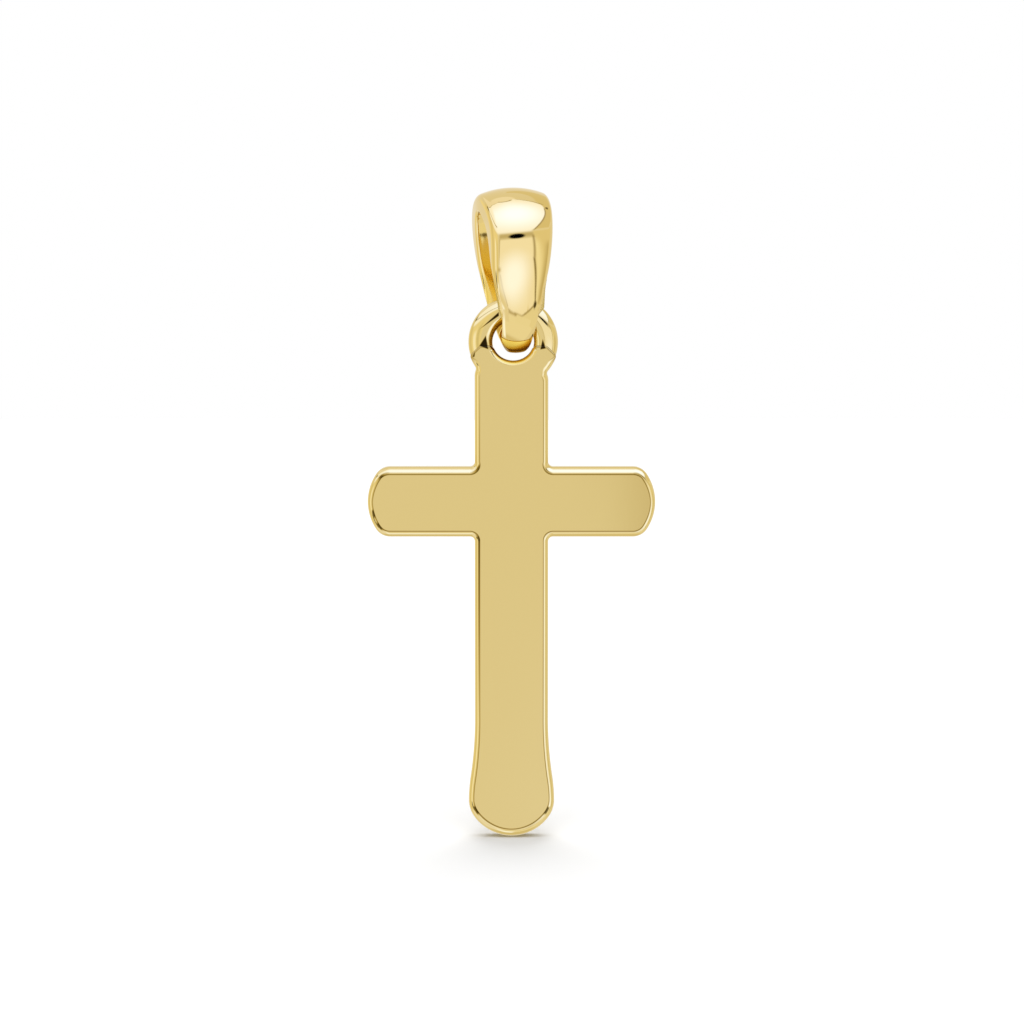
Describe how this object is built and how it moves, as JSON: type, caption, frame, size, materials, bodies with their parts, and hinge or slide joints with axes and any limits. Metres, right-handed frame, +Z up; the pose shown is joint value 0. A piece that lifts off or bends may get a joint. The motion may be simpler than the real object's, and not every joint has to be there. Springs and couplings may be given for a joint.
{
  "type": "cross pendant on a bail",
  "caption": "Plain polished Latin cross with rounded arms, a flared foot and a cast eye, hanging on a tapered loop bail.",
  "frame": {"origin": "chain seat: the highest point of the hollow inside the bail, where the necklace chain carries the pendant", "axes": "+Z up, as the pendant hangs; the polished front face looks along -Y; +X to the viewer's right"},
  "size_m": [0.012, 0.0038, 0.027],
  "materials": {
    "bail_gold": "mirror-polished yellow gold",
    "cross_gold": "polished yellow gold, flat face buffed to a soft mirror"
  },
  "bodies": {
    "bail": {"bail": "bail_gold"},
    "cross": {"cross": "cross_gold"}
  },
  "joints": [
    {"name": "swing", "type": "hinge", "parent": "bail", "child": "cross", "pos_m": [0.00007, 0.00005, -0.00417], "axis": [0.9563, 0.2924, 0], "range_deg": [-45, 45]}
  ]
}
